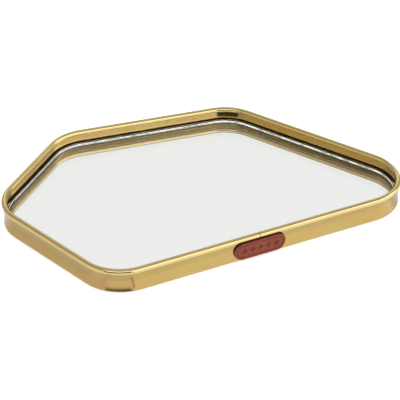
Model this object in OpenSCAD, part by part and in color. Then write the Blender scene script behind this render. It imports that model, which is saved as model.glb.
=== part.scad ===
// Dresser vanity tray: a five-sided metal band with rounded corners around a drop-in mirror
// on a board base. Millimetres, +Z up.
// Origin: the middle of the tray's footprint, on the surface that the feet stand on.
// The front side runs along X and faces -Y.

/* [Outline] */
// Length of the front side, between its two sharp corners
front_side = 287.7; // [280:0.1:295]
// Length of the left side, between its two sharp corners
left_side = 131.3; // [126:0.1:136]
// Length of the back left side, between its two sharp corners
back_left_side = 110; // [105:0.5:115]
// Inside angle of the front corner
front_angle = 111.2; // [109:0.1:113]
// Inside angle of the left corner
left_angle = 110; // [108:0.1:112]
// Inside angle of the back left corner
back_left_angle = 131; // [129:0.1:133]
// Inside angle of the right corner
right_angle = 59.2; // [57:0.1:61]
// Outer radius of every corner
corner_r = 37; // [32:0.5:40]

/* [Band] */
// Height of the band
band_height = 20; // [18:0.5:24]
// Radius of the round bead along the top of the band
bead_r = 2.2; // [2:0.1:2.4]
// Depth of the hollow in the outer wall, below the bead's outermost line
waist_depth = 1.4; // [1:0.1:1.6]
// Radius of the hollow in the outer wall
cove_r = 34; // [32:1:40]
// Radius of the outer edge along the bottom of the band
lip_r = 0.6; // [0.4:0.1:0.8]
// Thickness of the band's wall, below the bead
wall_t = 2.2; // [2:0.1:2.4]
// Distance of the butt seam from the front side's left sharp corner
seam_from_corner = 121.2; // [115:0.1:127]
// Width of the open line of the seam
seam_gap = 0.2; // [0.1:0.05:0.3]

/* [Mirror] */
// Thickness of the glass
glass_t = 6; // [4:0.5:6]
// Gap between the bead's innermost line and the glass
glass_gap = 0.5; // [0.4:0.1:0.8]
// Thickness of the silvering
silvering_t = 0.2; // [0.1:0.05:0.3]
// Thickness of the safety film
film_t = 0.3; // [0.2:0.1:0.4]
// Thickness of the double-sided tape under the mirror
tape_t = 0.6; // [0.5:0.1:1]

/* [Base] */
// Width of the flat ring that carries the base board
ring_w = 8; // [7:0.5:10]
// Thickness of the ring
ring_t = 1; // [0.8:0.1:1.2]
// Thickness of the base board
board_t = 2; // [2:0.5:3.5]
// Thickness of the felt under the board
felt_t = 0.8; // [0.5:0.1:0.9]
// Diameter of each foot
foot_d = 14; // [12:1:16]
// Height of the feet below the band's bottom edge
foot_proud = 1; // [0.8:0.1:1.5]

/* [Label] */
// Length of the label
label_length = 42.8; // [40:0.2:48]
// Height of the label
label_height = 14.6; // [14:0.2:16]
// Thickness of the label
label_t = 1.3; // [1:0.1:1.6]
// Height of the label's middle above the band's bottom edge
label_middle = 8.2; // [8.1:0.1:9.2]

/* [Hidden] */

small_fn = 32;
corner_fn = 90;
cove_fn = 180;

// The outline's sharp corners, anticlockwise from the front corner
back_left_heading = front_angle + left_angle - 180;
back_heading = back_left_heading + back_left_angle - 180;
front_corner = [0, 0];
right_corner = [front_side, 0];
left_corner = left_side * unit(front_angle);
back_left_corner = left_corner + back_left_side * unit(back_left_heading);
right_side = cross(back_left_corner - right_corner, unit(back_heading))
    / cross(unit(180 - right_angle), unit(back_heading));
back_corner = right_corner + right_side * unit(180 - right_angle);
corners = [front_corner, right_corner, back_corner, back_left_corner, left_corner];
last = len(corners) - 1;
FRONT = 0;
RIGHT = 1;
BACK = 2;
BACK_LEFT = 3;
LEFT = 4;

// Levels above the surface that the feet stand on
band_z = foot_proud;
board_z = band_z + ring_t;
tape_z = board_z + board_t;
film_z = tape_z + tape_t;
silvering_z = film_z + film_t;
glass_z = silvering_z + silvering_t;

// The band's section: x is the distance out from the outer line, y the height in the band
bead_w = 2 * bead_r;
bead_z = band_height - bead_r;
cove_x = cove_r - waist_depth;
cove_z = bead_z - sqrt(pow(cove_r + bead_r, 2) - pow(cove_x + bead_r, 2));
lip_x = cove_x - sqrt(pow(cove_r + lip_r, 2) - pow(cove_z - lip_r, 2));
lip_to_cove = atan2(cove_z - lip_r, cove_x - lip_x);
bead_to_cove = atan2(cove_z - bead_z, cove_x + bead_r);
wall_in = waist_depth + wall_t;
wall_r = cove_r + wall_t;
bead_arc = 360 - corner_angle(cove_r + bead_r, bead_r, wall_r);
crease_angle = 180 + bead_to_cove + corner_angle(cove_r + bead_r, wall_r, bead_r);
lip_steps = 3;
cove_steps = 8;
bead_steps = 20;
wall_steps = 4;
cove_step = (lip_to_cove - bead_to_cove) / cove_steps;
band_section = concat(
    [[-wall_in, 0]],
    [for (k = [0:lip_steps]) [lip_x, lip_r] + lip_r * unit(-90 + k * (lip_to_cove + 90) / lip_steps)],
    [for (k = [0:cove_steps - 1]) [cove_x, cove_z]
        + cove_r / cos(cove_step / 2) * unit(180 + lip_to_cove - (k + 0.5) * cove_step)],
    [for (k = [0:bead_steps]) [-bead_r, bead_z]
        + bead_r * unit(bead_to_cove + k * bead_arc / bead_steps)],
    [for (k = [1:wall_steps]) [cove_x, cove_z]
        + wall_r * unit(crease_angle + k * (180 - crease_angle) / wall_steps)]
);

// Base ring, and the splice bracket with its rivets
ring_clearance = 0.1;
splice_length = 40;
splice_t = 1;
splice_clearance = 0.5;
splice_leg = board_t + tape_t - splice_t - splice_clearance;
splice_width = ring_w - splice_clearance;
rivet_d = 2.4;
rivet_head_d = 4.2;
rivet_head_t = 0.6;
rivet_spacing = 9;

// Label
adhesive_t = 0.2;
adhesive_inset = 0.8;
deboss_depth = 0.5;
deboss_border_w = 0.7;
deboss_border_inset = 1.7;
lozenge_side = 3.6;
lozenge_spacing = 6.6;
lozenge_count = 5;
label_top = label_middle + label_height / 2;
label_face_r = cove_r - adhesive_t - label_t;
label_reach = cove_x - sqrt(pow(label_face_r, 2) - pow(label_top - cove_z, 2));

// Tape, spacers, screws and feet
tape_w = 16;
tape_spacing = 34;
tape_inset = 22;
tape_rows = 5;
spacer_length = 8;
spacer_height = 3;
spacer_lift = 0.4;
along_sides = [0.2, 0.8];
board_screw_d = 2.4;
board_screw_head_d = 4.2;
screw_cover = 0.3;
board_screw_length = ring_t + board_t - screw_cover;
foot_from_arc = 14;
foot_recess_d = 8;
foot_recess_h = 1.2;
felt_clearance = 0.4;
washer_d = 7;
washer_t = 0.4;
foot_screw_d = 2.4;
foot_screw_head_d = 5;
foot_screw_head_h = 0.5;
foot_screw_top = board_z + board_t - screw_cover;
board_inset = bead_w + glass_gap;
ring_inner = bead_w + ring_w;

// The middle of the footprint, seen from the front corner
centre_x = (arc_centre(LEFT)[0] + arc_centre(RIGHT)[0]) / 2;
centre_y = (arc_centre(BACK_LEFT)[1] + corner_r - label_reach) / 2;

function unit(a) = [cos(a), sin(a)];
// The angle between the sides a and b of a triangle whose third side is c
function corner_angle(a, b, c) = acos((a * a + b * b - c * c) / (2 * a * b));
function next(i) = i == last ? 0 : i + 1;
function previous(i) = i == 0 ? last : i - 1;
function side(i) = corners[next(i)] - corners[i];
function heading(i) = atan2(side(i)[1], side(i)[0]);
function turn(i) = (heading(i) - heading(previous(i)) + 360) % 360;
function outward(i) = heading(previous(i)) - 90 + turn(i) / 2;
function arc_centre(i) = corners[i] - corner_r / cos(turn(i) / 2) * unit(outward(i));
function straight(i) = norm(arc_centre(next(i)) - arc_centre(i));
function arc_ends(i, r) = [for (a = [heading(previous(i)), heading(i)]) arc_centre(i) + r * unit(a - 90)];

// Moves what is drawn from the front corner to the tray's own origin
module centred() {
    translate([-centre_x, -centre_y, 0]) children();
}

// Puts children on side i, at a share of its straight run: X points outward, Y along the side,
// and x = 0 is the outer line
module on_side(i, share) {
    translate(arc_centre(i)) rotate(heading(i) - 90)
        translate([corner_r, share * straight(i), 0]) children();
}

// Puts children on the front side at the seam, in the same way
module at_seam() {
    translate([seam_from_corner, 0, 0]) rotate(heading(FRONT) - 90) children();
}

// The tray's outline, moved inward by an inset
module outline(inset) {
    r = corner_r - inset;
    polygon([for (i = [0:last]) each arc_ends(i, r)]);
    for (i = [0:last]) translate(arc_centre(i)) circle(r = r, $fn = corner_fn);
}

module slab(inset, z, thickness) {
    translate([0, 0, z]) linear_extrude(thickness) outline(inset);
}

// The stations of the bent band, from the seam round to the seam again: each is the middle of
// its bend and the direction outward
bend_step = 5;
stations = concat(
    [[[seam_from_corner + seam_gap / 2, corner_r], -90]],
    [for (i = [RIGHT, BACK, BACK_LEFT, LEFT, FRONT]) each bend_stations(i)],
    [[[seam_from_corner - seam_gap / 2, corner_r], -90]]
);

function bend_stations(i) = [
    for (k = [0:bend_steps(i)])
        [arc_centre(i), heading(previous(i)) - 90 + k * turn(i) / bend_steps(i)]
];
function bend_steps(i) = ceil(turn(i) / bend_step);
function on_station(s, p) = [each s[0] + (corner_r + p[0]) * unit(s[1]), p[1]];

module rivet_places() {
    for (k = [-1.5, -0.5, 0.5, 1.5])
        translate([-bead_w - ring_w / 2, k * rivet_spacing, 0]) children();
}

module board_screw_places() {
    for (i = [0:last], share = along_sides)
        on_side(i, share) translate([-bead_w - ring_w / 2, 0, 0]) children();
}

module foot_place(i) {
    translate(arc_centre(i) + foot_from_arc * unit(outward(i))) children();
}

module board_screw() {
    head_h = (board_screw_head_d - board_screw_d) / 2;
    cylinder(h = head_h, d1 = board_screw_head_d, d2 = board_screw_d, $fn = small_fn);
    cylinder(h = board_screw_length, d = board_screw_d, $fn = small_fn);
}

module rivet_shank() {
    translate([0, 0, band_z]) cylinder(h = ring_t + splice_t, d = rivet_d, $fn = small_fn);
}

module frame_band() {
    n = len(band_section);
    ends = len(stations) - 1;
    walls = [for (j = [0:ends - 1], k = [0:n - 1])
        [j * n + k, j * n + (k + 1) % n, (j + 1) * n + (k + 1) % n, (j + 1) * n + k]];
    color("#d2b268") centred() translate([0, 0, band_z]) polyhedron(
        points = [for (s = stations, p = band_section) on_station(s, p)],
        faces = concat(
            [[for (k = [n - 1:-1:0]) k]],
            walls,
            [[for (k = [0:n - 1]) ends * n + k]]
        )
    );
}

module base_ring() {
    color("silver") centred() difference() {
        translate([0, 0, band_z]) linear_extrude(ring_t) difference() {
            outline(wall_in + ring_clearance);
            outline(ring_inner);
        }
        at_seam() rivet_places() rivet_shank();
        translate([0, 0, band_z]) board_screw_places() board_screw();
    }
}

module splice_bracket() {
    color("silver") centred() at_seam() difference() {
        translate([-wall_in, -splice_length / 2, board_z]) {
            translate([-splice_width, 0, 0]) cube([splice_width, splice_length, splice_t]);
            translate([-splice_t, 0, 0]) cube([splice_t, splice_length, splice_t + splice_leg]);
        }
        rivet_places() rivet_shank();
    }
}

module splice_rivets() {
    color("lightgrey") centred() at_seam() rivet_places() {
        rivet_shank();
        for (z = [band_z - rivet_head_t, board_z + splice_t])
            translate([0, 0, z]) cylinder(h = rivet_head_t, d = rivet_head_d, $fn = small_fn);
    }
}

// A strip with round ends, in the plane of the front side and centred on the seam
module label_outline(inset) {
    r = label_height / 2 - inset;
    half = (label_length - label_height) / 2;
    square([2 * half, 2 * r], center = true);
    for (x = [-half, half]) translate([x, 0]) circle(r = r, $fn = small_fn * 2);
}

// Stands an outline up at the seam, cut to the layer between two radii of the hollow wall
module wall_layer(outer_r, inner_r) {
    translate([seam_from_corner, 0, band_z]) intersection() {
        translate([0, 0, label_middle]) rotate([90, 0, 0])
            linear_extrude(2 * label_length, center = true) children();
        translate([-label_length, -cove_x, cove_z]) rotate([0, 90, 0])
            linear_extrude(2 * label_length) difference() {
                circle(r = outer_r, $fn = cove_fn);
                circle(r = inner_r, $fn = cove_fn);
            }
        translate([-label_length, -label_height, 0])
            cube([2 * label_length, 2 * label_height, band_height]);
    }
}

module label_pattern() {
    difference() {
        label_outline(deboss_border_inset);
        label_outline(deboss_border_inset + deboss_border_w);
    }
    for (k = [0:lozenge_count - 1])
        translate([(k - (lozenge_count - 1) / 2) * lozenge_spacing, 0]) rotate(45)
            square(lozenge_side, center = true);
}

module label_tag() {
    color("#9c4634") centred() difference() {
        wall_layer(cove_r - adhesive_t, label_face_r) label_outline(0);
        wall_layer(label_face_r + deboss_depth, label_face_r - 1) label_pattern();
    }
}

module label_adhesive() {
    color("ivory") centred() wall_layer(cove_r, cove_r - adhesive_t) label_outline(adhesive_inset);
}

module mirror_glass() {
    color("#e4ece8") centred() slab(board_inset, glass_z, glass_t);
}

module mirror_silvering() {
    color("#eeeeee") centred() slab(board_inset, silvering_z, silvering_t);
}

module mirror_safety_film() {
    color("#8f979b") centred() slab(board_inset, film_z, film_t);
}

module mirror_tape_strips() {
    color("whitesmoke") centred() translate([0, 0, tape_z]) linear_extrude(tape_t) intersection() {
        outline(tape_inset);
        for (row = [0:tape_rows - 1])
            translate([left_corner[0], tape_inset + row * tape_spacing])
                square([front_side - left_corner[0], tape_w]);
    }
}

module glass_edge_spacers() {
    color("#dddddd") centred() for (i = [0:last], share = along_sides)
        on_side(i, share) translate([-board_inset, -spacer_length / 2, glass_z + spacer_lift])
            cube([board_inset - wall_in, spacer_length, spacer_height]);
}

module base_board() {
    notch_w = splice_width + splice_clearance;
    notch_length = splice_length + 2 * splice_clearance;
    color("#b08a5e") centred() difference() {
        slab(board_inset, board_z, board_t);
        at_seam() translate([-bead_w - notch_w, -notch_length / 2, 0])
            cube([notch_w + 1, notch_length, tape_z + 1]);
        translate([0, 0, band_z]) board_screw_places() board_screw();
        for (i = [0:last]) foot_place(i) cylinder(h = foot_screw_top, d = foot_screw_d, $fn = small_fn);
    }
}

module base_felt() {
    color("#2c2c2e") centred() difference() {
        slab(ring_inner + felt_clearance, board_z - felt_t, felt_t);
        for (i = [0:last]) foot_place(i)
            cylinder(h = board_z, d = foot_d + 2 * felt_clearance, $fn = small_fn);
    }
}

module board_screws() {
    color("lightgrey") centred() translate([0, 0, band_z]) board_screw_places() board_screw();
}

module foot(i) {
    color("#26262a") centred() foot_place(i) difference() {
        cylinder(h = board_z, d = foot_d, $fn = small_fn * 2);
        translate([0, 0, -1]) cylinder(h = foot_recess_h + 1, d = foot_recess_d, $fn = small_fn);
        cylinder(h = board_z + 1, d = foot_screw_d, $fn = small_fn);
    }
}

module foot_washers() {
    color("silver") centred() for (i = [0:last]) foot_place(i) difference() {
        translate([0, 0, foot_recess_h - washer_t]) cylinder(h = washer_t, d = washer_d, $fn = small_fn);
        cylinder(h = foot_recess_h + 1, d = foot_screw_d, $fn = small_fn);
    }
}

module foot_screws() {
    head_z = foot_recess_h - washer_t - foot_screw_head_h;
    color("lightgrey") centred() for (i = [0:last]) foot_place(i) {
        translate([0, 0, head_z]) cylinder(h = foot_screw_head_h, d = foot_screw_head_d, $fn = small_fn);
        translate([0, 0, head_z])
            cylinder(h = foot_screw_top - head_z, d = foot_screw_d, $fn = small_fn);
    }
}

frame_band();
base_ring();
splice_bracket();
splice_rivets();
label_tag();
label_adhesive();
mirror_glass();
mirror_silvering();
mirror_safety_film();
mirror_tape_strips();
glass_edge_spacers();
base_board();
base_felt();
board_screws();
foot(FRONT);  // foot_front
foot(RIGHT);  // foot_right
foot(BACK);  // foot_back
foot(BACK_LEFT);  // foot_back_left
foot(LEFT);  // foot_left
foot_washers();
foot_screws();
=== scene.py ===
"""Looks of the dresser vanity tray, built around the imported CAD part."""

import math

import bmesh
import bpy
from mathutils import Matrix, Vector


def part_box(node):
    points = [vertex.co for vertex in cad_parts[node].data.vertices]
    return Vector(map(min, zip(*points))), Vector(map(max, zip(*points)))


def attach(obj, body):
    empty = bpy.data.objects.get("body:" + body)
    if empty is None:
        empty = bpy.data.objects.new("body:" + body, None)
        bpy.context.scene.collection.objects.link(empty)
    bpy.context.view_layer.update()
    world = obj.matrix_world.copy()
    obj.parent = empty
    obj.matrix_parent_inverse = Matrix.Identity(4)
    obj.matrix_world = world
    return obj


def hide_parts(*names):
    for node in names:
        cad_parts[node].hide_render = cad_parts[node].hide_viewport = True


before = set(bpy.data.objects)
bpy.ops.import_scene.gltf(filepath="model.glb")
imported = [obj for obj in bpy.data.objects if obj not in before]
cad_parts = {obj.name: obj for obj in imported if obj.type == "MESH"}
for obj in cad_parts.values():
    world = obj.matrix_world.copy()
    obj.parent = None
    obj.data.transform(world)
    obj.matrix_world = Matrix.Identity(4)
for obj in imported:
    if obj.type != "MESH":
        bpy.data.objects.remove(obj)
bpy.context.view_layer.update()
scene = bpy.context.scene
MM = 0.001


def add_object(name, data):
    obj = bpy.data.objects.new(name, data)
    scene.collection.objects.link(obj)
    return obj


def stand_at(obj, location, target):
    """Puts a camera or a light at location, looking at target, in metres."""
    obj.location = location
    obj.rotation_euler = (Vector(target) - Vector(location)).to_track_quat("-Z", "Y").to_euler()


# ---------------------------------------------------------------- camera
CAMERA_AT = (-0.3656, -0.7915, 0.6149)
CAMERA_TARGET = (0.00117, -0.01301, 0.001)
camera_data = bpy.data.cameras.new("camera")
camera_data.lens = 120.3
camera_data.sensor_width = 36
camera_data.shift_y = 0.0014
camera_data.clip_start = 0.01
camera_data.clip_end = 50
camera = add_object("camera", camera_data)
stand_at(camera, CAMERA_AT, CAMERA_TARGET)
scene.camera = camera
scene.view_settings.view_transform = "Standard"
scene.view_settings.look = "None"

# ---------------------------------------------------------------- the tray's dimensions, mm
# The outline: sides between sharp corners, and the angles inside the corners. The front side
# lies along +X from the front corner, and the other two sides follow from these.
FRONT_SIDE, LEFT_SIDE, BACK_LEFT_SIDE = 287.7, 131.3, 110.0
FRONT_ANGLE, LEFT_ANGLE, BACK_LEFT_ANGLE, RIGHT_ANGLE = 111.2, 110.0, 131.0, 59.2
CORNER_R = 37.0
# The band: a round bead on a wall whose outside is hollow, WAIST inside the bead at its deepest.
BAND_Z, BAND_H, BEAD_R, WALL_T = 1.0, 20.0, 2.2, 2.2
COVE_R, WAIST, LIP_R = 34.0, 1.4, 0.6
# The seam's place along the front side, its gap, and the small bevel on both of its ends.
SEAM, SEAM_GAP, SEAM_BEVEL = 121.2, 0.2, 0.15
GLASS_INSET = 2 * BEAD_R + 0.5
# The label, whose middle is LABEL_MIDDLE above the foot of the band.
ADHESIVE_T, LABEL_T, LABEL_LENGTH, LABEL_H, LABEL_MIDDLE = 0.2, 1.3, 42.8, 14.6, 8.2
# The ring under the board and the bracket on it. Their screws and rivets pass holes of HOLE_R.
RING_T, BRACKET_T, HOLE_R = 1.0, 1.0, 1.2
BOARD_Z = BAND_Z + RING_T
FIXING_INSET = 2 * BEAD_R + 4.0


def unit(degrees):
    a = math.radians(degrees)
    return Vector((math.cos(a), math.sin(a)))


def cross(a, b):
    return a.x * b.y - a.y * b.x


back_left_heading = FRONT_ANGLE + LEFT_ANGLE - 180
back_heading = back_left_heading + BACK_LEFT_ANGLE - 180
right_corner = Vector((FRONT_SIDE, 0))
left_corner = LEFT_SIDE * unit(FRONT_ANGLE)
back_left_corner = left_corner + BACK_LEFT_SIDE * unit(back_left_heading)
right_side = cross(back_left_corner - right_corner, unit(back_heading)) / cross(
    unit(180 - RIGHT_ANGLE), unit(back_heading)
)
back_corner = right_corner + right_side * unit(180 - RIGHT_ANGLE)
CORNERS = [Vector((0, 0)), right_corner, back_corner, back_left_corner, left_corner]
FRONT, RIGHT, BACK, BACK_LEFT, LEFT = range(5)


def heading(i):
    """The direction of the side that starts at corner i, in degrees."""
    side = CORNERS[(i + 1) % 5] - CORNERS[i]
    return math.degrees(math.atan2(side.y, side.x))


def turn(i):
    """How far the outline bends at corner i, in degrees."""
    return (heading(i) - heading((i - 1) % 5)) % 360


def outward(i):
    """The direction out of the tray at the middle of corner i, in degrees."""
    return heading((i - 1) % 5) - 90 + turn(i) / 2


# the middle of each corner's bend
ARC = [
    CORNERS[i] - CORNER_R / math.cos(math.radians(turn(i) / 2)) * unit(outward(i)) for i in range(5)
]
COVE_X = COVE_R - WAIST
BEAD_Z = BAND_H - BEAD_R
COVE_Z = BEAD_Z - math.sqrt((COVE_R + BEAD_R) ** 2 - (COVE_X + BEAD_R) ** 2)
LABEL_FACE_R = COVE_R - ADHESIVE_T - LABEL_T
LABEL_REACH = COVE_X - math.sqrt(LABEL_FACE_R**2 - (LABEL_MIDDLE + LABEL_H / 2 - COVE_Z) ** 2)
# the middle of the tray's box, which is the frame's zero
ORIGIN = Vector(
    ((ARC[LEFT].x + ARC[RIGHT].x) / 2, (ARC[BACK_LEFT].y + CORNER_R - LABEL_REACH) / 2)
)

# ---------------------------------------------------------------- mesh helpers
BEND_STEP = 1.5  # degrees between stations on a bend
RUN_STEP = 12  # millimetres between stations on a straight run, about
NEAR_END, FROM_END = 0.4, 2.0  # the extra stations at both ends of a run


def stations(seam=True):
    """The places that a section is swept through, once round the tray from the seam.

    Each has the middle of a bend of CORNER_R, the direction outward, the length so far, and
    how far the section is drawn in there. On a straight run that middle moves along.
    """

    def straight(a, b, facing, length):
        run = (b - a).length
        n = int(run / RUN_STEP)
        marks = [0.0, NEAR_END, FROM_END]
        marks += [FROM_END + (run - 2 * FROM_END) * k / n for k in range(1, n)]
        marks += [run - FROM_END, run - NEAR_END, run]
        return [(a.lerp(b, m / run), facing, length + m, 0.0) for m in marks]

    front = heading(FRONT) - 90
    gap = Vector((SEAM_GAP / 2 if seam else 0.0, 0))
    bevel = Vector((SEAM_BEVEL, 0))
    here, end = Vector((SEAM, CORNER_R)) + gap, Vector((SEAM, CORNER_R)) - gap
    found, length = [], 0.0
    if seam:
        found = [(here, front, 0.0, SEAM_BEVEL), (here + bevel, front, SEAM_BEVEL, 0.0)]
    for i in (RIGHT, BACK, BACK_LEFT, LEFT, FRONT):
        facing = heading((i - 1) % 5) - 90
        found += straight(here, ARC[i], facing, length)[1 if found else 0 : -1]
        length += (ARC[i] - here).length
        n = round(turn(i) / BEND_STEP)
        for k in range(n + 1):
            bent = turn(i) * k / n
            found.append((ARC[i], facing + bent, length + math.radians(bent) * CORNER_R, 0.0))
        length += math.radians(turn(i)) * CORNER_R
        here = ARC[i]
    found += straight(here, end, front, length)[1:-1]
    length += (end - here).length
    if seam:
        found.append((end - bevel, front, length - SEAM_BEVEL, 0.0))
        found.append((end, front, length, SEAM_BEVEL))
    return found


def place(centre, direction, x, z):
    """A section's point (x, z) at a station, in metres. x = 0 is the bead's outside."""
    p = centre + (CORNER_R + x) * unit(direction) - ORIGIN
    return (p.x * MM, p.y * MM, z * MM)


def around(n):
    return [2 * math.pi * k / n for k in range(n)]


def quads(a, b, n):
    """The faces between two rings of n vertices, which start at a and b."""
    return [(a + k, a + (k + 1) % n, b + (k + 1) % n, b + k) for k in range(n)]


def new_object(name, verts, faces, uvs=None, sharp=35.0, points=None):
    """A smooth mesh object. uvs is a pair per corner, points is {attribute: value per vertex}."""
    mesh = bpy.data.meshes.new(name)
    mesh.from_pydata(verts, [], faces)
    if uvs:
        layer = mesh.uv_layers.new(name="UVMap")
        layer.data.foreach_set("uv", [c for uv in uvs for c in uv])
    for attribute, values in (points or {}).items():
        mesh.attributes.new(attribute, "FLOAT", "POINT").data.foreach_set("value", values)
    mesh.update()
    mesh.validate()
    mesh.polygons.foreach_set("use_smooth", [True] * len(mesh.polygons))
    mesh.set_sharp_from_angle(angle=math.radians(sharp))
    return add_object(name, mesh)


def fix_normals(obj):
    bm = bmesh.new()
    bm.from_mesh(obj.data)
    bmesh.ops.recalc_face_normals(bm, faces=bm.faces)
    bm.to_mesh(obj.data)
    bm.free()


def sweep(name, section, places, marks):
    """Sweeps a closed section of (x, z) points, anticlockwise, along stations, with closed ends.

    UVs are millimetres along and across. marks is {attribute: value per point of the section}.
    """
    n, rows = len(section), len(places)
    section = [Vector(point) for point in section]
    normals, across = [], [0.0]
    for k in range(n):
        a, b, c = (section[(k + d) % n] for d in (-1, 0, 1))
        t = (b - a).normalized() + (c - b).normalized()
        normals.append(Vector((t.y, -t.x)).normalized())
        across.append(across[-1] + (c - b).length)
    verts, faces, uvs = [], [], []
    for centre, direction, _, inset in places:
        for point, normal in zip(section, normals):
            p = point - inset * normal
            verts.append(place(centre, direction, p.x, p.y))
    for j in range(rows - 1):
        here, there = j * n, (j + 1) * n
        u0, u1 = places[j][2], places[j + 1][2]
        for k in range(n):
            m = (k + 1) % n
            v0, v1 = across[k], across[k + 1]
            faces.append((here + m, there + m, there + k, here + k))
            uvs += [(u0, v1), (u1, v1), (u1, v0), (u0, v0)]
    faces.append(tuple(range(n)))
    uvs += [(0.0, across[k]) for k in range(n)]
    faces.append(tuple((rows - 1) * n + k for k in reversed(range(n))))
    uvs += [(places[-1][2], across[k]) for k in reversed(range(n))]
    points = {key: values * rows for key, values in marks.items()}
    obj = new_object(name, verts, faces, uvs, points=points)
    fix_normals(obj)
    return obj


def lathe(profile, centre, n=48):
    """Vertices and faces of a turned solid. The profile is (r, z) in mm, with r = 0 on the axis."""
    verts, faces, rings = [], [], []
    for r, z in profile:
        rings.append(len(verts))
        for a in around(n) if r else [0.0]:
            x, y = centre[0] + r * math.cos(a), centre[1] + r * math.sin(a)
            verts.append((x * MM, y * MM, z * MM))
    for (r0, _), (r1, _), a, b in zip(profile, profile[1:], rings, rings[1:]):
        if r0 and r1:
            faces += quads(a, b, n)
        else:
            for k in range(n):
                m = (k + 1) % n
                faces.append((a + k, a + m, b) if r0 else (a, b + m, b + k))
    return verts, faces


def join_parts(name, parts, sharp=35.0):
    verts, faces = [], []
    for part_verts, part_faces in parts:
        base = len(verts)
        verts += part_verts
        faces += [tuple(base + i for i in face) for face in part_faces]
    obj = new_object(name, verts, faces, sharp=sharp)
    fix_normals(obj)
    return obj


# ---------------------------------------------------------------- materials
class Tree:
    """The node tree of a material or a world, with short calls."""

    def __init__(self, owner):
        owner.use_nodes = True
        self.tree = owner.node_tree
        self.tree.nodes.clear()

    def add(self, kind, **settings):
        node = self.tree.nodes.new(kind)
        for key, value in settings.items():
            setattr(node, key, value)
        return node

    def feed(self, socket, value):
        """Sets a socket to a number or a colour, or links it to an output."""
        if isinstance(value, tuple):
            socket.default_value = (*value, 1)
        elif isinstance(value, (int, float)):
            socket.default_value = value
        else:
            self.tree.links.new(value, socket)

    def range(self, value, a, b, low=0.0, high=1.0):
        """Goes smoothly from low to high as value goes from a to b."""
        node = self.add("ShaderNodeMapRange", interpolation_type="SMOOTHSTEP")
        sockets = ("Value", "From Min", "From Max", "To Min", "To Max")
        for socket, number in zip(sockets, (value, a, b, low, high)):
            self.feed(node.inputs[socket], number)
        return node.outputs[0]

    def math(self, operation, a, b=0.0):
        node = self.add("ShaderNodeMath", operation=operation)
        self.feed(node.inputs[0], a)
        self.feed(node.inputs[1], b)
        return node.outputs[0]

    def times(self, a, b):
        return self.math("MULTIPLY", a, b)

    def mix(self, fac, a, b):
        """Colour a where fac is 0, b where it is 1."""
        node = self.add("ShaderNodeMix", data_type="RGBA")
        self.feed(node.inputs["Factor"], fac)
        self.feed(node.inputs[6], a)
        self.feed(node.inputs[7], b)
        return node.outputs[2]


class Material(Tree):
    """A principled material. Lengths are in millimetres: mm() scales the object's metres."""

    def __init__(self, name):
        self.mat = bpy.data.materials.new(name)
        super().__init__(self.mat)
        self.out = self.add("ShaderNodeOutputMaterial")
        self.shader = self.add("ShaderNodeBsdfPrincipled")
        self.feed(self.out.inputs["Surface"], self.shader.outputs[0])

    def set(self, **values):
        for key, value in values.items():
            self.shader.inputs[key.replace("_", " ")].default_value = value

    def plug(self, socket, output):
        self.feed(self.shader.inputs[socket], output)

    def mm(self, scale=(1, 1, 1), uv=False):
        coord = self.add("ShaderNodeTexCoord")
        mapping = self.add("ShaderNodeMapping")
        factor = 1 if uv else 1 / MM
        mapping.inputs["Scale"].default_value = [factor * s for s in scale]
        self.feed(mapping.inputs["Vector"], coord.outputs["UV" if uv else "Object"])
        return mapping.outputs[0]

    def noise(self, vector, scale, detail=3.0, rough=0.5, distortion=0.0):
        node = self.add("ShaderNodeTexNoise")
        sockets = ("Vector", "Scale", "Detail", "Roughness", "Distortion")
        for socket, value in zip(sockets, (vector, scale, detail, rough, distortion)):
            self.feed(node.inputs[socket], value)
        return node.outputs[0]

    def cells(self, vector, scale, feature="F1"):
        node = self.add("ShaderNodeTexVoronoi", feature=feature)
        node.inputs["Scale"].default_value = scale
        self.feed(node.inputs["Vector"], vector)
        return node.outputs

    def attribute(self, name):
        return self.add("ShaderNodeAttribute", attribute_name=name).outputs["Fac"]

    def fade(self, value, a, b, most, tone, other):
        """The tone, with up to most of another as value goes from a to b."""
        return self.mix(self.range(value, a, b, 0.0, most), tone, other)

    def bump(self, height, strength, distance_mm, after=None):
        node = self.add("ShaderNodeBump")
        node.inputs["Strength"].default_value = strength
        node.inputs["Distance"].default_value = distance_mm * MM
        self.feed(node.inputs["Height"], height)
        if after is not None:
            self.feed(node.inputs["Normal"], after)
        return node.outputs[0]


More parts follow.
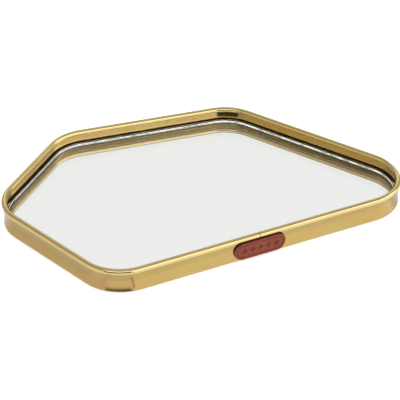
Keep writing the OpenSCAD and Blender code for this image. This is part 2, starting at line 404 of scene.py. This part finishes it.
def brass():
    """Polished brass with fine drawn lines along the band, and a bead that is less rough and paler:
    its paler tone is a painted highlight.
    """
    m = Material("brass_polished")
    body = m.mm()
    bead = m.attribute("bead")
    lines = m.noise(m.mm((0.035, 5.0, 1), uv=True), 1.0, 5.0, 0.65)
    fine = m.noise(m.mm((0.15, 16.0, 1), uv=True), 1.0, 3.0, 0.6)
    cloud = m.noise(body, 0.035, 4.0, 0.55)
    hue = m.noise(m.mm((0.012, 0.05, 1), uv=True), 1.0, 3.0, 0.55)
    wave = m.noise(m.mm((0.030, 0.10, 1), uv=True), 1.0, 2.0, 0.4)
    specks = m.range(m.noise(body, 0.9, 6.0, 0.7), 0.66, 0.74)
    wall = m.fade(cloud, 0.3, 0.7, 1.0, (0.56, 0.405, 0.138), (0.52, 0.375, 0.128))
    wall = m.fade(hue, 0.42, 0.68, 0.7, wall, (0.57, 0.365, 0.152))
    wall = m.fade(hue, 0.48, 0.30, 0.7, wall, (0.51, 0.415, 0.150))
    wall = m.fade(lines, 0.35, 0.7, 0.35, wall, (0.46, 0.305, 0.100))
    # the bead's paler tone is a painted highlight, not a real difference in the metal
    bead_highlight = m.fade(cloud, 0.3, 0.7, 1.0, (0.80, 0.645, 0.29), (0.76, 0.60, 0.265))
    bead_highlight = m.fade(lines, 0.40, 0.7, 0.3, bead_highlight, (0.70, 0.54, 0.22))
    m.plug("Base Color", m.mix(m.times(specks, 0.25), m.mix(bead, wall, bead_highlight), (0.42, 0.29, 0.12)))
    m.set(Metallic=1.0)
    rough = m.range(lines, 0.3, 0.75, 0.085, 0.15)
    rough = m.math("ADD", rough, m.range(cloud, 0.3, 0.7, 0.0, 0.03))
    rough = m.times(rough, m.range(bead, 0.0, 1.0, 1.0, 0.45))
    m.plug("Roughness", m.math("ADD", rough, m.times(specks, 0.08)))
    normal = m.bump(wave, 0.4, 0.10)
    normal = m.bump(lines, 0.20, 0.008, normal)
    m.plug("Normal", m.bump(fine, 0.12, 0.003, normal))
    return m.mat


def glass_clear():
    m = Material("glass_clear")
    haze = m.noise(m.mm(), 0.05, 3.0, 0.6)
    m.plug("Base Color", m.mix(haze, (0.975, 0.985, 0.98), (0.985, 0.99, 0.985)))
    m.plug("Roughness", m.range(haze, 0.35, 0.75, 0.0, 0.012))
    m.set(Transmission_Weight=1.0, IOR=1.5)
    return m.mat


def glass_edge():
    """The upper part of the glass edge, dark brown with streaks along it: painted shade."""
    m = Material("glass_edge_painted_shade")
    grit = m.noise(m.mm((1, 1, 3)), 1.2, 4.0, 0.6)
    streak = m.noise(m.mm((0.12, 0.12, 1.4)), 1.0, 4.0, 0.6)
    tone = m.fade(streak, 0.35, 0.65, 1.0, (0.045, 0.034, 0.016), (0.34, 0.27, 0.13))
    m.plug("Base Color", m.fade(grit, 0.5, 0.7, 0.5, tone, (0.30, 0.28, 0.18)))
    m.plug("Roughness", m.range(grit, 0.3, 0.7, 0.15, 0.3))
    m.plug("Normal", m.bump(m.noise(m.mm(), 2.0, 3.0, 0.6), 0.3, 0.03))
    return m.mat


def glass_ground():
    """The pale ground band low on the glass edge. Its glow stands for light through the glass."""
    m = Material("glass_ground_edge")
    grit = m.noise(m.mm(), 5.0, 4.0, 0.7)
    chips = m.noise(m.mm((0.12, 0.12, 0.8)), 1.0, 5.0, 0.65)
    chips = m.range(chips, 0.46, 0.66, 0.0, 0.85)
    pale = m.mix(chips, (0.94, 0.96, 0.90), (0.16, 0.17, 0.12))
    m.plug("Base Color", pale)
    m.plug("Emission Color", pale)
    m.plug("Roughness", m.range(grit, 0.3, 0.7, 0.35, 0.65))
    m.set(Transmission_Weight=0.12, IOR=1.5, Emission_Strength=2.0)
    m.plug("Normal", m.bump(grit, 0.6, 0.05, m.bump(chips, 0.5, 0.1)))
    return m.mat


def silvering():
    m = Material("mirror_coat")
    v = m.mm()
    cloud = m.noise(v, 0.02, 3.0, 0.5)
    spots = m.range(m.noise(v, 0.8, 4.0, 0.7), 0.74, 0.80)
    tone = m.mix(cloud, (0.925, 0.93, 0.93), (0.935, 0.935, 0.93))
    m.plug("Base Color", m.mix(m.times(spots, 0.2), tone, (0.80, 0.80, 0.79)))
    m.plug("Roughness", m.range(cloud, 0.3, 0.7, 0.0, 0.006))
    m.set(Metallic=1.0)
    return m.mat


def leather():
    """Grained leather, darker where it is pressed in and on its cut edge."""
    m = Material("label_leather")
    v = m.mm()
    warp = m.noise(v, 0.9, 3.0, 0.5, 0.6)
    grain = m.cells(v, 2.6, "SMOOTH_F1")["Distance"]
    pores = m.cells(v, 6.0)["Distance"]
    cloud = m.noise(v, 0.16, 4.0, 0.6)
    press = m.attribute("press")
    tone = m.fade(cloud, 0.3, 0.7, 1.0, (0.215, 0.040, 0.020), (0.265, 0.052, 0.026))
    tone = m.fade(grain, 0.25, 0.75, 0.45, tone, (0.165, 0.030, 0.016))
    tone = m.mix(m.times(press, 0.62), tone, (0.095, 0.022, 0.014))
    tone = m.mix(m.times(m.attribute("cut"), 0.7), tone, (0.110, 0.034, 0.020))
    m.plug("Base Color", tone)
    rough = m.range(warp, 0.3, 0.7, 0.50, 0.66)
    m.plug("Roughness", m.math("SUBTRACT", rough, m.times(press, 0.12)))
    m.set(Specular_IOR_Level=0.25)
    normal = m.bump(grain, 0.45, 0.12)
    normal = m.bump(pores, 0.35, 0.04, normal)
    m.plug("Normal", m.bump(warp, 0.3, 0.06, normal))
    return m.mat


def zinc():
    """Galvanised steel with its spangle."""
    m = Material("zinc_spangle")
    v = m.mm()
    tint = m.add("ShaderNodeSeparateColor")
    m.feed(tint.inputs[0], m.cells(v, 0.35)["Color"])
    edge = m.cells(v, 0.35, "DISTANCE_TO_EDGE")["Distance"]
    tone = m.mix(tint.outputs[0], (0.50, 0.52, 0.54), (0.66, 0.67, 0.68))
    m.plug("Base Color", m.mix(m.range(edge, 0.0, 0.05, 0.5, 0.0), tone, (0.36, 0.37, 0.38)))
    m.plug("Roughness", m.range(tint.outputs[1], 0.0, 1.0, 0.28, 0.48))
    m.set(Metallic=1.0)
    m.plug("Normal", m.bump(m.noise(v, 1.6, 4.0, 0.6), 0.3, 0.03, m.bump(edge, 0.15, 0.05)))
    return m.mat


def steel(name, dark, light, rough):
    m = Material(name)
    turned = m.noise(m.mm((1, 1, 6)), 2.2, 4.0, 0.6)
    wear = m.noise(m.mm(), 0.9, 4.0, 0.6)
    m.plug("Base Color", m.fade(wear, 0.35, 0.65, 1.0, dark, light))
    m.plug("Roughness", m.range(turned, 0.3, 0.7, rough, rough + 0.16))
    m.set(Metallic=1.0)
    m.plug("Normal", m.bump(turned, 0.25, 0.02))
    return m.mat


def rubber(name, tone, dusty, clear=False):
    m = Material(name)
    v = m.mm()
    dust = m.noise(v, 0.35, 5.0, 0.65)
    skin = m.noise(v, 7.0, 3.0, 0.6)
    m.plug("Base Color", m.fade(dust, 0.4, 0.75, 1.0, tone, dusty))
    m.plug("Roughness", m.range(skin, 0.3, 0.7, *((0.25, 0.4) if clear else (0.55, 0.75))))
    m.plug("Normal", m.bump(skin, 0.35, 0.03, m.bump(dust, 0.2, 0.05)))
    if clear:
        m.set(Transmission_Weight=0.85, IOR=1.45)
    return m.mat


def felt():
    m = Material("felt_charcoal")
    fibre = m.noise(m.mm((1, 3.2, 1)), 1.5, 6.0, 0.75, 1.6)
    fibre_across = m.noise(m.mm((3.0, 1, 1)), 1.6, 6.0, 0.75, 1.4)
    web = m.math("MAXIMUM", fibre, fibre_across)
    cloud = m.noise(m.mm(), 0.05, 4.0, 0.6)
    tone = m.fade(web, 0.42, 0.72, 1.0, (0.018, 0.018, 0.020), (0.075, 0.075, 0.080))
    m.plug("Base Color", m.fade(cloud, 0.3, 0.7, 0.4, tone, (0.035, 0.033, 0.034)))
    m.plug("Roughness", m.range(fibre, 0.3, 0.7, 0.88, 0.98))
    m.set(Sheen_Weight=0.35, Sheen_Roughness=0.5)
    m.plug("Normal", m.bump(web, 0.8, 0.25))
    return m.mat


def fibreboard():
    m = Material("fibreboard")
    chips = m.noise(m.mm((1, 1, 5)), 0.8, 6.0, 0.7, 0.5)
    layers = m.noise(m.mm((0.3, 0.3, 8)), 0.7, 3.0, 0.5)
    tone = m.fade(chips, 0.3, 0.7, 1.0, (0.30, 0.185, 0.095), (0.46, 0.31, 0.18))
    m.plug("Base Color", m.fade(layers, 0.35, 0.65, 0.4, tone, (0.38, 0.25, 0.14)))
    m.plug("Roughness", m.range(chips, 0.3, 0.7, 0.62, 0.8))
    m.plug("Normal", m.bump(m.noise(m.mm(), 3.0, 5.0, 0.7), 0.5, 0.06))
    return m.mat


def soft(name, tone, other, scale, rough, clear=0.0):
    """Film, foam tape or adhesive: clouded in two tones, with a fine cellular skin."""
    m = Material(name)
    v = m.mm()
    cloud = m.noise(v, scale, 4.0, 0.6)
    m.plug("Base Color", m.fade(cloud, 0.3, 0.7, 1.0, tone, other))
    m.plug("Roughness", m.range(cloud, 0.3, 0.7, rough, rough + 0.15))
    m.plug("Normal", m.bump(m.cells(v, 4.0)["Distance"], 0.3, 0.05))
    if clear:
        m.set(Transmission_Weight=clear, IOR=1.45)
    return m.mat


ZINC = zinc()
LOOKS = {
    "base_ring": ZINC,
    "splice_bracket": ZINC,
    "mirror_silvering": silvering(),
    "mirror_safety_film": soft(
        "safety_film_grey", (0.25, 0.28, 0.30), (0.32, 0.35, 0.37), 0.1, 0.4
    ),
    "mirror_tape_strips": soft(
        "foam_tape_white", (0.72, 0.72, 0.70), (0.82, 0.82, 0.80), 0.6, 0.75
    ),
    "glass_edge_spacers": rubber(
        "rubber_clear", (0.80, 0.82, 0.81), (0.88, 0.90, 0.89), clear=True
    ),
    "base_board": fibreboard(),
    "base_felt": felt(),
    "foot_washers": steel("washer_steel", (0.52, 0.53, 0.54), (0.68, 0.69, 0.70), 0.22),
    "label_adhesive": soft(
        "adhesive_ivory", (0.70, 0.64, 0.50), (0.80, 0.75, 0.62), 0.5, 0.35, clear=0.3
    ),
}
for node_name, look in LOOKS.items():
    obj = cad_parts[node_name]
    obj.data.materials.clear()
    obj.data.materials.append(look)


def piece(obj, node_names, slot_name, *looks):
    """Makes an object a piece of the tray that stands for CAD nodes."""
    for look in looks:
        obj.data.materials.append(look)
    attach(obj, "root")
    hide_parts(*node_names)


# ---------------------------------------------------------------- the band
FILLET = 0.25  # at the wall's inner foot
BEAD_FADE = 0.35  # how far from the bead its paler tone, a painted highlight, ends


def arc(centre, radius, a0, a1, n):
    """The points of an arc from a0 to a1 degrees, in n steps."""
    angles = [math.radians(a0 + (a1 - a0) * k / n) for k in range(n + 1)]
    return [(centre[0] + radius * math.cos(a), centre[1] + radius * math.sin(a)) for a in angles]


def corner_angle(a, b, c):
    """The angle between sides a and b of a triangle, in degrees."""
    return math.degrees(math.acos((a * a + b * b - c * c) / (2 * a * b)))


def band_section():
    """The band's section, anticlockwise from the inner foot, and each point's share of bead."""
    lip_x = COVE_X - math.sqrt((COVE_R + LIP_R) ** 2 - (COVE_Z - LIP_R) ** 2)
    lip_to_cove = math.degrees(math.atan2(COVE_Z - LIP_R, COVE_X - lip_x))
    bead_to_cove = math.degrees(math.atan2(COVE_Z - BEAD_Z, COVE_X + BEAD_R))
    wall_r, wall_in = COVE_R + WALL_T, WAIST + WALL_T
    bead_end = bead_to_cove + (360 - corner_angle(COVE_R + BEAD_R, BEAD_R, wall_r))
    crease = 180 + bead_to_cove + corner_angle(COVE_R + BEAD_R, wall_r, BEAD_R)
    points = [(-wall_in, FILLET), (0.3 * FILLET - wall_in, 0.3 * FILLET), (FILLET - wall_in, 0.0)]
    points += arc((lip_x, LIP_R), LIP_R, -90, lip_to_cove, 8)
    points += arc((COVE_X, COVE_Z), COVE_R, 180 + lip_to_cove, 180 + bead_to_cove, 24)[1:]
    points += arc((-BEAD_R, BEAD_Z), BEAD_R, bead_to_cove, bead_end, 64)[1:]
    points += arc((COVE_X, COVE_Z), wall_r, crease, 180, 10)[1:]
    off_bead = [math.hypot(x + BEAD_R, z - BEAD_Z) - BEAD_R for x, z in points]
    bead = [min(1.0, max(0.0, 1.0 - away / BEAD_FADE)) for away in off_bead]
    return [(x, z + BAND_Z) for x, z in points], {"bead": bead}


section, marks = band_section()
band = sweep("band_with_bead", section, stations(), marks)
piece(band, ["frame_band"], "band_metal", brass())

# ---------------------------------------------------------------- the glass
ARRIS, ARRIS_H, GROUND_TO, TOP_ARRIS = 0.45, 0.5, 1.5, 0.3
COAT_GAP = 0.01  # keeps the glass clear of the coat under it
CLEAR, GROUND, DARK = range(3)  # material slots


def glass_mesh(inset, low, high):
    """The glass: a bottom arris, a ground band above it, and an edge up to the top; that arris and
    edge are dark with painted shade.
    """
    ring = stations(seam=False)
    levels = [
        (inset + ARRIS, low),
        (inset, low + ARRIS_H),
        (inset, low + GROUND_TO),
        (inset, high - TOP_ARRIS),
        (inset + TOP_ARRIS, high),
    ]
    # the DARK slot is painted shade on the edge
    looks = (DARK, GROUND, DARK, DARK, CLEAR)
    verts, faces = [], []
    n, sides = len(ring), len(levels) - 1
    for d, z in levels:
        verts += [place(centre, direction, -d, z) for centre, direction, _, _ in ring]
    for j in range(sides):
        faces += quads(j * n, (j + 1) * n, n)
    faces.append(tuple(reversed(range(n))))
    faces.append(tuple(sides * n + k for k in range(n)))
    obj = new_object("glass_plate", verts, faces, sharp=30.0)
    for k, polygon in enumerate(obj.data.polygons):
        side = k // n
        polygon.use_smooth = side < sides
        polygon.material_index = looks[side]
    return obj


glass_low, glass_high = (v.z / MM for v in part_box("mirror_glass"))
glass = glass_mesh(GLASS_INSET, glass_low + COAT_GAP, glass_high)
piece(glass, ["mirror_glass"], "clear_glass", glass_clear(), glass_ground(), glass_edge())

# ---------------------------------------------------------------- the label
LABEL_EDGE = 0.45  # the rounding of its face
BORDER = (1.6, 1.85, 2.25, 2.5)  # the pressed line: from, full, full, to, inside the edge
LOZENGES, LOZENGE_PITCH, LOZENGE_SIDE = 5, 6.6, 3.6
LOZENGE_SLOPE = (0.22, 0.12)  # from inside a lozenge's outline to outside it
PRESS_DEPTH = 0.5
CUT_DARK = 0.3  # how far onto the face the dark of the cut edge goes


def step(a, b, x):
    """Goes smoothly from 0 at a to 1 at b."""
    t = min(1.0, max(0.0, (x - a) / (b - a)))
    return t * t * (3 - 2 * t)


def pressed(x, y, d):
    """How far the label's face is pressed in, 0 to 1, at a point d inside its edge."""
    press = step(BORDER[0], BORDER[1], d) - step(BORDER[2], BORDER[3], d)
    half, (inner, outer) = LOZENGE_SIDE / math.sqrt(2), LOZENGE_SLOPE
    for k in range(LOZENGES):
        away = abs(x - (k - (LOZENGES - 1) / 2) * LOZENGE_PITCH) + abs(y)
        press = max(press, 1 - step(half - inner, half + outer, away))
    return press


def round_ended(half, r, n):
    """n points of the spine of a round-ended outline, each with the direction out from it."""
    flat, bend = 2 * half, math.pi * r
    found = []
    for k in range(n):
        s = (2 * flat + 2 * bend) * k / n
        if s < flat:
            found.append((-half + s, (0.0, -1.0)))
        elif s < flat + bend:
            a = -math.pi / 2 + (s - flat) / r
            found.append((half, (math.cos(a), math.sin(a))))
        elif s < 2 * flat + bend:
            found.append((half - (s - flat - bend), (0.0, 1.0)))
        else:
            a = math.pi / 2 + (s - 2 * flat - bend) / r
            found.append((-half, (math.cos(a), math.sin(a))))
    return found


def label_mesh():
    """The label in rings from its back, over its rounded edge, to the middle of its face."""
    n, face_rings, r0 = 640, 44, LABEL_H / 2
    outline = round_ended((LABEL_LENGTH - LABEL_H) / 2, r0, n)
    side = LABEL_T - LABEL_EDGE
    # each ring: how far it lies inside the outline, and its height above the back
    rings = [(0.0, 0.0), (0.0, 0.6 * side)]
    for d in (0.0, 0.03, 0.09, 0.18, 0.30):
        rings.append((d, side + math.sqrt(LABEL_EDGE**2 - (LABEL_EDGE - d) ** 2)))
    for k in range(face_rings + 1):
        rings.append((LABEL_EDGE + (r0 - LABEL_EDGE) * k / face_rings, LABEL_T))
    verts, faces, press, cut = [], [], [], []
    for d, thick in rings:
        for spine, (nx, ny) in outline:
            x, y = spine + nx * (r0 - d), ny * (r0 - d)
            p = pressed(x, y, d)
            radius = COVE_R - ADHESIVE_T - (thick - PRESS_DEPTH * p)
            z = LABEL_MIDDLE + y
            out = COVE_X - math.sqrt(radius**2 - (z - COVE_Z) ** 2)
            verts.append(
                ((SEAM + x - ORIGIN.x) * MM, (-out - ORIGIN.y) * MM, (BAND_Z + z) * MM)
            )
            press.append(p)
            cut.append(max(0.0, 1 - d / CUT_DARK))
    for j in range(len(rings) - 1):
        faces += quads(j * n, (j + 1) * n, n)
    faces.append(tuple(reversed(range(n))))
    points = {"press": press, "cut": cut}
    obj = new_object("leather_label", verts, faces, sharp=180.0, points=points)
    fix_normals(obj)
    return obj


piece(label_mesh(), ["label_tag"], "label_leather", leather())

# ---------------------------------------------------------------- feet and fixings
FOOT_D, FOOT_ROUNDING, RECESS_D, RECESS_H = 14.0, 0.35, 8.0, 1.2
FOOT_OUT = 14.0  # from the middle of the bend
foot_centres = [ARC[i] + FOOT_OUT * unit(outward(i)) - ORIGIN for i in range(5)]


def foot_profile():
    """A foot with a rounded edge, a groove in its tread, and a recess for the washer."""
    r, b, recess = FOOT_D / 2, FOOT_ROUNDING, RECESS_D / 2
    points = [(HOLE_R, BOARD_Z), (r - 0.1, BOARD_Z), (r, BOARD_Z - 0.15)]
    for a in (0, -22, -45, -67, -90):
        points.append((r - b + b * math.cos(math.radians(a)), b + b * math.sin(math.radians(a))))
    points += [(r - 1.0, 0.0), (r - 1.15, 0.12), (r - 1.45, 0.12), (r - 1.6, 0.0)]
    points += [(recess + 0.2, 0.0), (recess, 0.2), (recess, RECESS_H)]
    points += [(HOLE_R, RECESS_H), (HOLE_R, BOARD_Z)]
    return points


FOOT_RUBBER = rubber("rubber_black", (0.016, 0.016, 0.018), (0.06, 0.06, 0.062))
for centre, tail in zip(foot_centres, ("front", "right", "back", "back_left", "left")):
    foot = join_parts("rubber_foot_" + tail, [lathe(foot_profile(), centre, 96)])
    piece(foot, ["foot_" + tail], "foot_rubber", FOOT_RUBBER)

SHANK_R, THREAD_DEPTH, THREAD_STEP = 1.2, 0.22, 0.28
CROSS_REACH, CROSS_WIDTH = 0.58, 0.17  # of the head's radius
FIXING_SHARP = 40.0  # degrees


def cross_screw(centre, low, high, head_r, head_h, countersunk, phase):
    """A screw whose head faces down, with a cross recess, and a threaded shank."""
    n, head_rings = 64, 22
    arm, width = head_r * CROSS_REACH, head_r * CROSS_WIDTH
    depth = 0.6 if countersunk else 0.9 * head_h

    def point(r, a, z):
        x, y = centre[0] + r * math.cos(a + phase), centre[1] + r * math.sin(a + phase)
        return (x * MM, y * MM, z * MM)

    # the head's face in rings: the recess is a drop inside the cross's outline
    verts = [point(0, 0, low + depth)]
    for j in range(1, head_rings + 1):
        r = head_r * j / head_rings
        for a in around(n):
            x, y = abs(r * math.cos(a)), abs(r * math.sin(a))
            inside = min(x, y) < width and max(x, y) < arm
            z = low + (depth * (1 - 0.35 * r / head_r) if inside else 0.0)
            if not countersunk:
                z += 0.12 * head_r * max(0.0, (r / head_r - 0.8) / 0.2) ** 2
            verts.append(point(r, a, z))
    faces = [(0, 1 + (k + 1) % n, 1 + k) for k in range(n)]
    # the head's side, the thread and the flat tip
    rings = [(head_r, low + (0.06 if countersunk else 0.999 * head_h)), (SHANK_R, low + head_h)]
    z, flip = low + head_h + 0.15, False
    while z < high - 0.25:
        rings.append((SHANK_R - (THREAD_DEPTH if flip else 0.0), z))
        z += THREAD_STEP
        flip = not flip
    rings += [(0.8 * SHANK_R, high), (0.05, high)]
    for r, z in rings:
        verts += [point(r, a, z) for a in around(n)]
    starts = range(1, len(verts), n)
    for a, b in zip(starts, starts[1:]):
        faces += quads(a, b, n)
    faces.append(tuple(starts[-1] + k for k in range(n)))
    return verts, faces


def along_side(i, share, inset):
    """A point inside side i, share of the way along its straight run."""
    a, b = ARC[i], ARC[(i + 1) % 5]
    return a.lerp(b, share) + (CORNER_R - inset) * unit(heading(i) - 90) - ORIGIN


SCREW = steel("screw_steel", (0.50, 0.51, 0.53), (0.70, 0.70, 0.71), 0.18)
low, high = (v.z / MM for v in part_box("foot_screws"))
screws = [
    cross_screw(p, low, high, 2.5, 0.5, False, 0.4 + 1.3 * k) for k, p in enumerate(foot_centres)
]
foot_screw_set = join_parts("foot_screw_set", screws, FIXING_SHARP)
piece(foot_screw_set, ["foot_screws"], "screw_steel", SCREW)

low, high = (v.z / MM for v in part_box("board_screws"))
places = [along_side(i, share, FIXING_INSET) for i in range(5) for share in (0.2, 0.8)]
screws = [cross_screw(p, low, high, 2.1, 0.9, True, 0.7 * k) for k, p in enumerate(places)]
board_screw_set = join_parts("board_screw_set", screws, FIXING_SHARP)
piece(board_screw_set, ["board_screws"], "screw_steel", SCREW)

RIVET_R, RIVET_H, RIVET_PITCH = 2.1, 0.6, 9.0


def rivet(centre):
    """A blind rivet: a domed head below, a shank, and an upset head above."""
    upset, base = 0.92 * RIVET_R, BOARD_Z + BRACKET_T
    low, high = BAND_Z - RIVET_H, base + RIVET_H
    profile = [(0.0, low + 0.10), (0.5, low + 0.10), (0.62, low + 0.02)]
    for degrees in range(30, 91, 10):
        a = math.radians(degrees)
        profile.append((RIVET_R * math.sin(a), low + RIVET_H * (1 - math.cos(a))))
    profile += [(RIVET_R, BAND_Z), (HOLE_R, BAND_Z), (HOLE_R, base)]
    profile += [(upset, base), (upset, high - 0.2), (0.7 * RIVET_R, high), (0.0, high)]
    return lathe(profile, centre)


rivets = [
    rivet((SEAM - ORIGIN.x + s * RIVET_PITCH, FIXING_INSET - ORIGIN.y))
    for s in (-1.5, -0.5, 0.5, 1.5)
]
ALUMINIUM = steel("rivet_aluminium", (0.72, 0.73, 0.74), (0.84, 0.84, 0.85), 0.25)
rivet_set = join_parts("rivet_set", rivets, FIXING_SHARP)
piece(rivet_set, ["splice_rivets"], "rivet_aluminium", ALUMINIUM)

# ---------------------------------------------------------------- studio, metres
FLOOR_HALF = 3.0
LIGHT_AT, LIGHT_SIZE, LIGHT_WATTS = (0.1, 0.1, 1.6), 2.4, 18.0

floor_mesh = bpy.data.meshes.new("floor")
signs = ((-1, -1), (1, -1), (1, 1), (-1, 1))
floor_corners = [(x * FLOOR_HALF, y * FLOOR_HALF, 0) for x, y in signs]
floor_mesh.from_pydata(floor_corners, [], [(0, 1, 2, 3)])
floor = add_object("floor", floor_mesh)
paper = Material("paper_white")
cloud = paper.noise(paper.mm(), 0.01, 3.0, 0.5)
paper.plug("Base Color", paper.mix(cloud, (0.905, 0.905, 0.905), (0.915, 0.915, 0.915)))
paper.set(Roughness=0.85, Specular_IOR_Level=0.2)
paper.set(Emission_Color=(1, 1, 1, 1), Emission_Strength=0.48)
# the paper is seen from above only, so that a view from below shows the underside
sided = paper.add("ShaderNodeMixShader")
paper.feed(sided.inputs[0], paper.add("ShaderNodeNewGeometry").outputs["Backfacing"])
paper.feed(sided.inputs[1], paper.shader.outputs[0])
paper.feed(sided.inputs[2], paper.add("ShaderNodeBsdfTransparent").outputs[0])
paper.feed(paper.out.inputs["Surface"], sided.outputs[0])
floor_mesh.materials.append(paper.mat)
# the brass reflects the lower half of the world instead
floor.visible_glossy = False

light_data = bpy.data.lights.new("light_top", "AREA")
light_data.shape = "RECTANGLE"
light_data.size = light_data.size_y = LIGHT_SIZE
light_data.energy = LIGHT_WATTS
light = add_object("light_top", light_data)
stand_at(light, LIGHT_AT, (0, 0, 0))
# the brass and the mirror don't show it
light.visible_glossy = False
light.visible_transmission = False

# ---------------------------------------------------------------- world, by direction in degrees
world = bpy.data.worlds.new("studio")
scene.world = world
sky = Tree(world)


def window(value, low, high, soft):
    """1 where value is between low and high, with soft edges."""
    above = sky.range(value, low - soft, low + soft)
    return sky.times(above, sky.range(value, high - soft, high + soft, 1.0, 0.0))


def lerp(mask, a, b):
    """Level a where mask is 0, b where it is 1."""
    rest = sky.math("SUBTRACT", 1.0, mask)
    return sky.math("ADD", sky.times(a, rest), sky.times(b, mask))


def bands(level, *steps):
    """Brightness by elevation: a first level, then steps upward of (elevation, softness, level)."""
    for at, soft_by, value in steps:
        level = lerp(sky.range(elevation, at - soft_by, at + soft_by), level, value)
    return level


split = sky.add("ShaderNodeSeparateXYZ")
sky.feed(split.inputs[0], sky.add("ShaderNodeTexCoord").outputs["Generated"])
x, y, z = split.outputs
elevation = sky.times(sky.math("ARCSINE", z), 180 / math.pi)
azimuth = sky.times(sky.math("ARCTAN2", y, x), 180 / math.pi)

# three sides, each in bands of brightness
front = window(azimuth, -152, 0, 10)
left = sky.math("MAXIMUM", sky.range(azimuth, 145, 165), sky.range(azimuth, -170, -155, 1.0, 0.0))
zenith = (61, 4, 0.54)
front_level = bands(
    0.4, (-71, 3, 1.05), (-46, 5, 1.2), (-2, 4, 1.35), (23, 3, 2.0), (43, 3, 0.25), zenith
)
left_level = bands(0.35, (-71, 3, 0.94), (-4, 4, 0.78), (43, 3, 0.12), zenith)
back_level = bands(0.35, (-71, 3, 0.8), (-4, 4, 0.5), (33, 4, 0.34), zenith)
level = lerp(left, lerp(front, back_level, front_level), left_level)
# the backdrop, which the mirror shows
backdrop = sky.times(window(azimuth, 44, 86, 4), window(elevation, 24, 48, 3))
level = lerp(backdrop, level, 0.95)
# the front left is dimmer low down and has a dark gap at eye level
gap = window(azimuth, -151, -93, 3)
level = sky.times(level, lerp(sky.times(gap, window(elevation, -66, -27, 4)), 1.0, 0.88))
# a narrow stand beside it
stand = sky.times(window(azimuth, -90, -86, 2), window(elevation, -60, -22, 6))
level = sky.times(level, lerp(stand, 1.0, 0.32))
eye_level = sky.times(sky.range(elevation, -31, -16), sky.range(elevation, 17, 25, 1.0, 0.0))
level = lerp(sky.times(gap, eye_level), level, 0.05)

# the card on the left is warmer than the rest
overhead = sky.range(elevation, 48, 60)
plain = sky.math("MAXIMUM", sky.math("MAXIMUM", front, backdrop), overhead)
tint = sky.mix(plain, (1.0, 0.96, 0.94), (1.0, 0.995, 0.985))
card = sky.mix(sky.range(elevation, -8, 0), (1.0, 0.945, 0.99), (1.0, 0.88, 0.62))
tint = sky.mix(sky.times(left, sky.math("SUBTRACT", 1.0, overhead)), tint, card)
background = sky.add("ShaderNodeBackground")
sky.feed(background.inputs["Color"], tint)
sky.feed(background.inputs["Strength"], level)
sky.feed(sky.add("ShaderNodeOutputWorld").inputs["Surface"], background.outputs[0])
